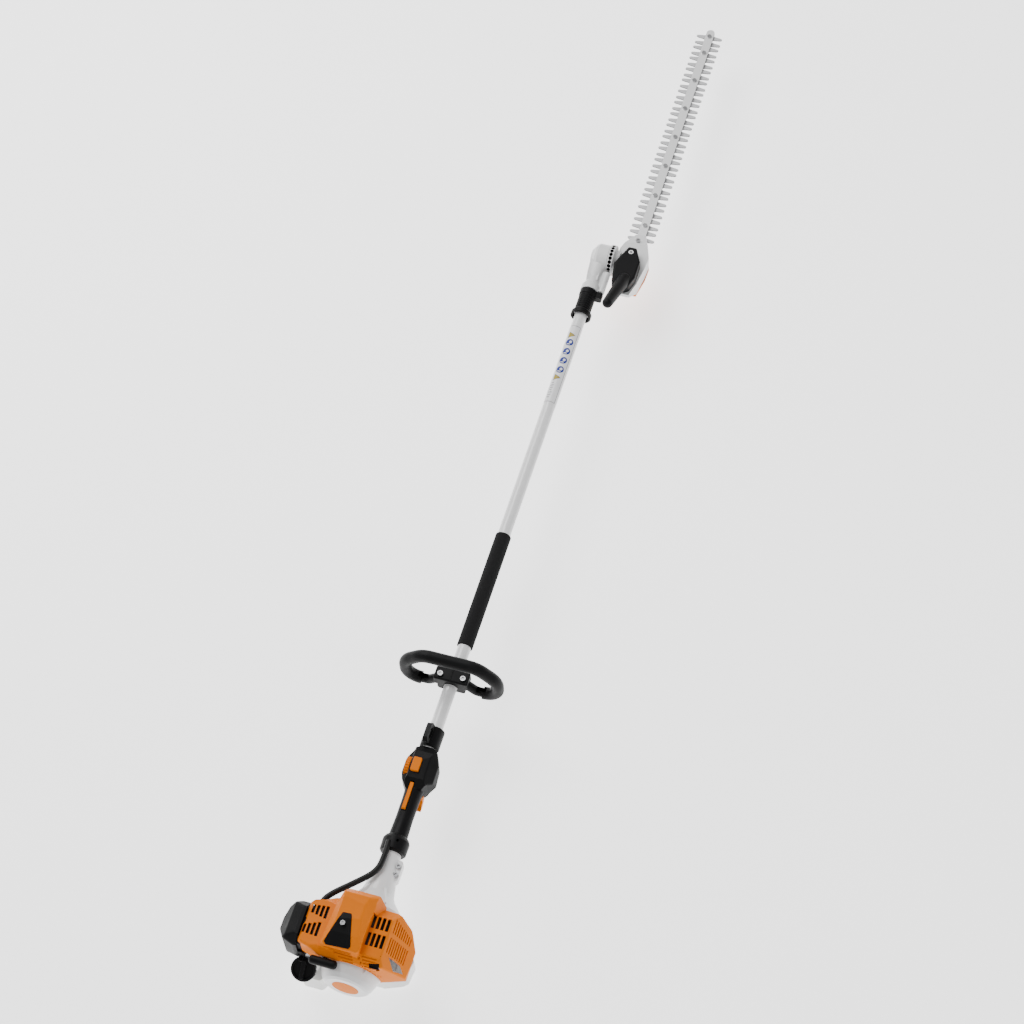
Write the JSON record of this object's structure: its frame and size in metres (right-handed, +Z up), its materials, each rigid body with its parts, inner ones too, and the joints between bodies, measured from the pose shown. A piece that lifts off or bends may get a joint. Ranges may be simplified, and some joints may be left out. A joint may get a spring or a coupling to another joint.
{
  "type": "pole hedge trimmer",
  "caption": "Petrol pole hedge trimmer: engine, shaft with loop and control handles, and an angle-adjustable gearbox with a double-sided cutter bar.",
  "frame": {"origin": "under the middle of the whole tool, on the plane that the engine foot stands on", "axes": "+X along the shaft from the engine to the blade tip, +Z up through the cylinder, +Y the tool's left (air filter side)"},
  "size_m": [2.3484, 0.238, 0.225],
  "materials": {
    "orange": "glossy orange",
    "white": "glossy white",
    "tank": "translucent white",
    "black": "fine texture",
    "casting": "white powder coat",
    "tube": "white gloss coat",
    "rubber": "matt",
    "foam": "cellular foam",
    "steel": "plated",
    "blade": "ground",
    "alloy": "as cast",
    "muffler": "heat dulled",
    "brass": "plain",
    "filter": "pleated",
    "label": "printed film",
    "rope": "braided"
  },
  "bodies": {
    "tool": {"crankcase": "alloy", "bearings": "steel", "cylinder": "alloy", "spark_plug": "steel", "spark_plug_boot": "rubber", "muffler": "muffler", "carburettor": "alloy", "air_filter_base": "black", "air_filter_element": "filter", "air_filter_cover": "black", "shroud": "orange", "shroud_insert": "black", "engine_screws": "steel", "starter_cover": "white", "starter_badge": "orange", "recoil_spring": "steel", "fuel_tank": "tank", "engine_foot": "black", "clutch_housing": "white", "shaft_tube": "tube", "shaft_bushes": "rubber", "throttle_hose": "rubber", "handle_shell_left": "black", "handle_shell_right": "black", "clamp_screws": "steel", "harness_clamp": "black", "loop_handle": "black", "loop_clamp_lower": "black", "foam_grip": "foam", "shaft_label": "label", "joint_housing": "casting"},
    "piston": {"piston": "alloy"},
    "crank": {"crankshaft": "steel", "flywheel_fan": "alloy", "clutch_shoes": "steel"},
    "pulley": {"starter_pulley": "black"},
    "pull": {"starter_grip": "black", "starter_rope": "rope"},
    "cap": {"fuel_cap": "black"},
    "choke": {"choke_lever": "black"},
    "drive": {"clutch_drum": "steel", "drive_shaft": "steel"},
    "head": {"quadrant": "casting", "gearbox_housing": "casting", "gearbox_base_cover": "orange", "gearbox_screws": "steel", "gearbox_top_cover": "black", "tilt_handle": "black", "guide_bar": "blade", "bar_bolts": "steel"},
    "idler": {"idler_gear": "steel"},
    "crown": {"crown_gear": "steel"},
    "upper": {"upper_blade": "blade"},
    "lower": {"lower_blade": "blade"},
    "wheel": {"speed_wheel": "orange"},
    "button": {"stop_button": "orange"},
    "lockout": {"lockout_lever": "orange"},
    "trigger": {"throttle_trigger": "orange"},
    "sleeve": {"sliding_sleeve": "black", "lock_bolt": "steel"}
  },
  "joints": [
    {"name": "head_tilt", "type": "hinge", "parent": "tool", "child": "head", "pos_m": [0.4752, -0.042, 0.122], "axis": [0, 1, 0], "range_deg": [-45, 90]},
    {"name": "sleeve_slide", "type": "slide", "parent": "tool", "child": "sleeve", "axis": [-1, 0, 0], "range_m": [0, 0.012], "stiffness_N_per_m": 900, "springref_m": -0.004},
    {"name": "drive_spin", "type": "hinge", "parent": "tool", "child": "drive", "pos_m": [-0.2758, -0.018, 0.122], "axis": [1, 0, 0], "continuous": true},
    {"name": "idler_spin", "type": "hinge", "parent": "head", "child": "idler", "pos_m": [0.4752, -0.038, 0.122], "axis": [0, 1, 0], "continuous": true},
    {"name": "crown_spin", "type": "hinge", "parent": "head", "child": "crown", "pos_m": [0.4752, -0.082, 0.106], "axis": [0, 0, 1], "continuous": true},
    {"name": "upper_blade_slide", "type": "slide", "parent": "head", "child": "upper", "axis": [1, 0, 0], "range_m": [-0.0085, 0.0085]},
    {"name": "lower_blade_slide", "type": "slide", "parent": "head", "child": "lower", "axis": [1, 0, 0], "range_m": [-0.0085, 0.0085]},
    {"name": "crank_spin", "type": "hinge", "parent": "tool", "child": "crank", "pos_m": [-1.0958, -0.018, 0.122], "axis": [1, 0, 0], "continuous": true},
    {"name": "piston_slide", "type": "slide", "parent": "tool", "child": "piston", "axis": [0, 0, -1], "range_m": [0, 0.004]},
    {"name": "starter_pull", "type": "slide", "parent": "tool", "child": "pull", "axis": [-0.7071, 0, 0.7071], "range_m": [0, 0.015], "stiffness_N_per_m": 150, "springref_m": -0.01},
    {"name": "pulley_turn", "type": "hinge", "parent": "tool", "child": "pulley", "pos_m": [-1.1618, -0.018, 0.122], "axis": [1, 0, 0], "range_deg": [-45, 0.1]},
    {"name": "cap_turn", "type": "hinge", "parent": "tool", "child": "cap", "pos_m": [-1.1498, 0.068, 0.094], "axis": [-0.6, 0, 0.8], "range_deg": [0, 90]},
    {"name": "choke_turn", "type": "hinge", "parent": "tool", "child": "choke", "pos_m": [-1.1378, 0.073, 0.136], "axis": [1, 0, 0], "range_deg": [-40, 0]},
    {"name": "stop_press", "type": "slide", "parent": "tool", "child": "button", "axis": [0, 0, -1], "range_m": [0, 0.002], "stiffness_N_per_m": 1500, "springref_m": -0.001},
    {"name": "wheel_turn", "type": "hinge", "parent": "tool", "child": "wheel", "pos_m": [-0.7478, 0.006, 0.124], "axis": [0, 1, 0], "range_deg": [0, 150]},
    {"name": "lockout_press", "type": "hinge", "parent": "tool", "child": "lockout", "pos_m": [-0.7838, -0.0135, 0.1396], "axis": [0, -1, 0], "range_deg": [0, 1.2], "stiffness_Nm_per_rad": 2, "springref_deg": -2.86},
    {"name": "trigger_pull", "type": "hinge", "parent": "tool", "child": "trigger", "pos_m": [-0.7858, -0.029, 0.104], "axis": [0, 1, 0], "range_deg": [0, 10], "stiffness_Nm_per_rad": 0.6, "springref_deg": -8.59}
  ],
  "couplings": [
    {"joint": "idler_spin", "follows": "drive_spin", "ratio": 1},
    {"joint": "crown_spin", "follows": "drive_spin", "ratio": 1},
    {"joint": "lower_blade_slide", "follows": "upper_blade_slide", "ratio": -1},
    {"joint": "pulley_turn", "follows": "starter_pull", "rad_per_m": -45}
  ]
}
